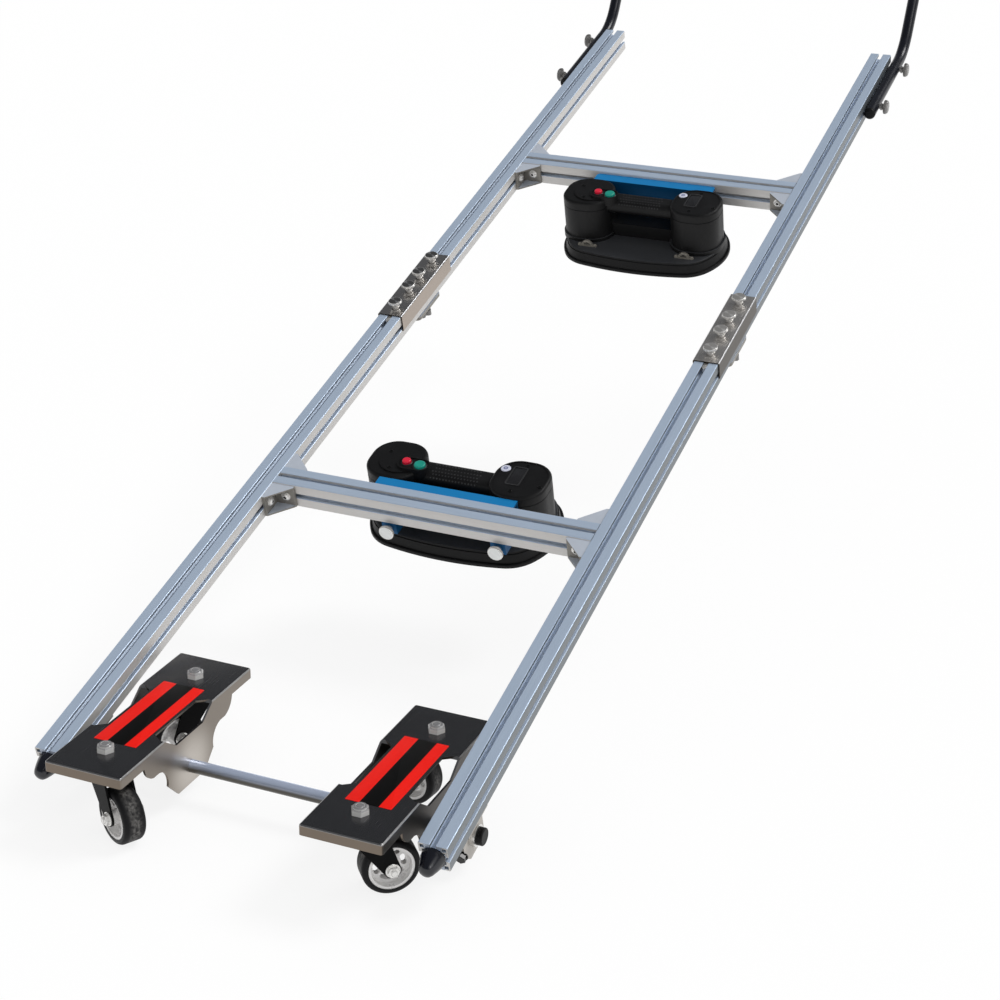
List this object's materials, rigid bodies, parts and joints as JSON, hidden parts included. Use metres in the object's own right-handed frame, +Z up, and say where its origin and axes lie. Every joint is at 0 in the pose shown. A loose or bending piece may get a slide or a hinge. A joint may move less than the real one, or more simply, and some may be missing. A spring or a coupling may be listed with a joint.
{
  "type": "slab trolley",
  "caption": "Long T-slot rail frame on a tilting caster dolly, with battery vacuum lifters under its cross bars and bent push handles, for carrying large tiles and slabs.",
  "frame": {"origin": "on the floor, at the middle of the whole length and width", "axes": "+X right across the trolley, +Y towards the handles, +Z up"},
  "size_m": [0.6738, 2.3791, 0.9616],
  "materials": {
    "rail_aluminium": "satin anodised extrusion",
    "plate_steel": "polished stainless sheet",
    "screw_steel": "bright turned steel",
    "tube_steel": "polished tube",
    "cast_grey": "raw die casting",
    "black_rubber": "matt black",
    "tyre_rubber": "satin black",
    "caster_black": "black enamel",
    "hub_silver": "bright cast",
    "lifter_plastic": "fine grained black",
    "red_plastic": "gloss",
    "green_plastic": "gloss",
    "blue_anodised": "blue anodised",
    "handle_black": "gloss black"
  },
  "bodies": {
    "frame_front": {"front_rail_left": "rail_aluminium", "front_rail_right": "rail_aluminium", "front_cross_bar": "rail_aluminium", "front_corner_brackets": "cast_grey", "rail_bumpers": "black_rubber", "axle_bracket_left": "cast_grey", "axle_bracket_right": "cast_grey", "joiner_left": "plate_steel", "joiner_right": "plate_steel", "joiner_screws_left": "screw_steel", "joiner_screws_right": "screw_steel"},
    "dolly": {"dolly_plate_left": "plate_steel", "dolly_plate_right": "plate_steel", "axle_tube": "tube_steel", "axle_caps": "black_rubber", "axle_collars": "tube_steel", "caster_pivots": "screw_steel", "caster_nuts": "screw_steel"},
    "frame_rear": {"rear_rail_left": "rail_aluminium", "rear_rail_right": "rail_aluminium", "rear_cross_bar": "rail_aluminium", "rear_corner_brackets": "cast_grey", "joint_strips": "tube_steel", "joint_knobs": "screw_steel"},
    "handle_left": {"handle_left": "handle_black", "handle_grip_left": "black_rubber", "handle_plug_left": "black_rubber", "handle_screws_left": "screw_steel"},
    "handle_right": {"handle_right": "handle_black", "handle_grip_right": "black_rubber", "handle_plug_right": "black_rubber", "handle_screws_right": "screw_steel"},
    "front_left_swivel": {"front_left_fork": "caster_black"},
    "front_left_wheel": {"front_left_hub": "hub_silver", "front_left_tyre": "tyre_rubber"},
    "front_right_swivel": {"front_right_fork": "caster_black"},
    "front_right_wheel": {"front_right_hub": "hub_silver", "front_right_tyre": "tyre_rubber"},
    "rear_left_swivel": {"rear_left_fork": "caster_black"},
    "rear_left_wheel": {"rear_left_hub": "hub_silver", "rear_left_tyre": "tyre_rubber"},
    "rear_right_swivel": {"rear_right_fork": "caster_black"},
    "rear_right_wheel": {"rear_right_hub": "hub_silver", "rear_right_tyre": "tyre_rubber"},
    "lifter_front": {"front_lifter_housing": "lifter_plastic", "front_lifter_pad": "black_rubber", "front_lifter_bracket": "blue_anodised", "front_lifter_clamps": "blue_anodised", "front_lifter_screws": "screw_steel", "front_lifter_eyes": "screw_steel"},
    "front_red_push": {"front_red_button": "red_plastic"},
    "front_green_push": {"front_green_button": "green_plastic"},
    "lifter_rear": {"rear_lifter_housing": "lifter_plastic", "rear_lifter_pad": "black_rubber", "rear_lifter_bracket": "blue_anodised", "rear_lifter_clamps": "blue_anodised", "rear_lifter_screws": "screw_steel", "rear_lifter_eyes": "screw_steel"},
    "rear_red_push": {"rear_red_button": "red_plastic"},
    "rear_green_push": {"rear_green_button": "green_plastic"}
  },
  "joints": [
    {"name": "dolly_tilt", "type": "hinge", "parent": "frame_front", "child": "dolly", "pos_m": [0, -1.02256, 0.0472], "axis": [1, 0, 0], "range_deg": [-19, 16.5]},
    {"name": "front_left_swivel_turn", "type": "hinge", "parent": "dolly", "child": "front_left_swivel", "pos_m": [-0.183, -1.13456, 0.1], "axis": [0, 0, 1], "continuous": true},
    {"name": "front_left_wheel_spin", "type": "hinge", "parent": "front_left_swivel", "child": "front_left_wheel", "pos_m": [-0.15195, -1.15177, 0.038], "axis": [0.4848, 0.8746, 0], "continuous": true},
    {"name": "front_right_swivel_turn", "type": "hinge", "parent": "dolly", "child": "front_right_swivel", "pos_m": [0.183, -1.13456, 0.1], "axis": [0, 0, 1], "continuous": true},
    {"name": "front_right_wheel_spin", "type": "hinge", "parent": "front_right_swivel", "child": "front_right_wheel", "pos_m": [0.20979, -1.11127, 0.038], "axis": [-0.6561, 0.7547, 0], "continuous": true},
    {"name": "rear_left_swivel_turn", "type": "hinge", "parent": "dolly", "child": "rear_left_swivel", "pos_m": [-0.183, -0.91056, 0.1], "axis": [0, 0, 1], "continuous": true},
    {"name": "rear_left_wheel_spin", "type": "hinge", "parent": "rear_left_swivel", "child": "rear_left_wheel", "pos_m": [-0.20128, -0.94099, 0.038], "axis": [0.8572, -0.515, 0], "continuous": true},
    {"name": "rear_right_swivel_turn", "type": "hinge", "parent": "dolly", "child": "rear_right_swivel", "pos_m": [0.183, -0.91056, 0.1], "axis": [0, 0, 1], "continuous": true},
    {"name": "rear_right_wheel_spin", "type": "hinge", "parent": "rear_right_swivel", "child": "rear_right_wheel", "pos_m": [0.14785, -0.90562, 0.038], "axis": [-0.1392, -0.9903, 0], "continuous": true},
    {"name": "rear_half_draw", "type": "slide", "parent": "frame_front", "child": "frame_rear", "axis": [0, 0.9613, 0.2756], "range_m": [0, 0.07]},
    {"name": "handle_left_set", "type": "slide", "parent": "frame_rear", "child": "handle_left", "axis": [0, 0.9613, 0.2756], "range_m": [-0.12, 0]},
    {"name": "handle_right_set", "type": "slide", "parent": "frame_rear", "child": "handle_right", "axis": [0, 0.9613, 0.2756], "range_m": [-0.12, 0]},
    {"name": "lifter_front_shift", "type": "slide", "parent": "frame_front", "child": "lifter_front", "axis": [1, 0, 0], "range_m": [-0.05, 0.05]},
    {"name": "front_red_press", "type": "slide", "parent": "lifter_front", "child": "front_red_push", "axis": [0, 0.2756, -0.9613], "range_m": [0, 0.003], "stiffness_N_per_m": 600, "springref_m": -0.0005},
    {"name": "front_green_press", "type": "slide", "parent": "lifter_front", "child": "front_green_push", "axis": [0, 0.2756, -0.9613], "range_m": [0, 0.003], "stiffness_N_per_m": 600, "springref_m": -0.0005},
    {"name": "lifter_rear_shift", "type": "slide", "parent": "frame_rear", "child": "lifter_rear", "axis": [1, 0, 0], "range_m": [-0.05, 0.05]},
    {"name": "rear_red_press", "type": "slide", "parent": "lifter_rear", "child": "rear_red_push", "axis": [0, 0.2756, -0.9613], "range_m": [0, 0.003], "stiffness_N_per_m": 600, "springref_m": -0.0005},
    {"name": "rear_green_press", "type": "slide", "parent": "lifter_rear", "child": "rear_green_push", "axis": [0, 0.2756, -0.9613], "range_m": [0, 0.003], "stiffness_N_per_m": 600, "springref_m": -0.0005}
  ]
}
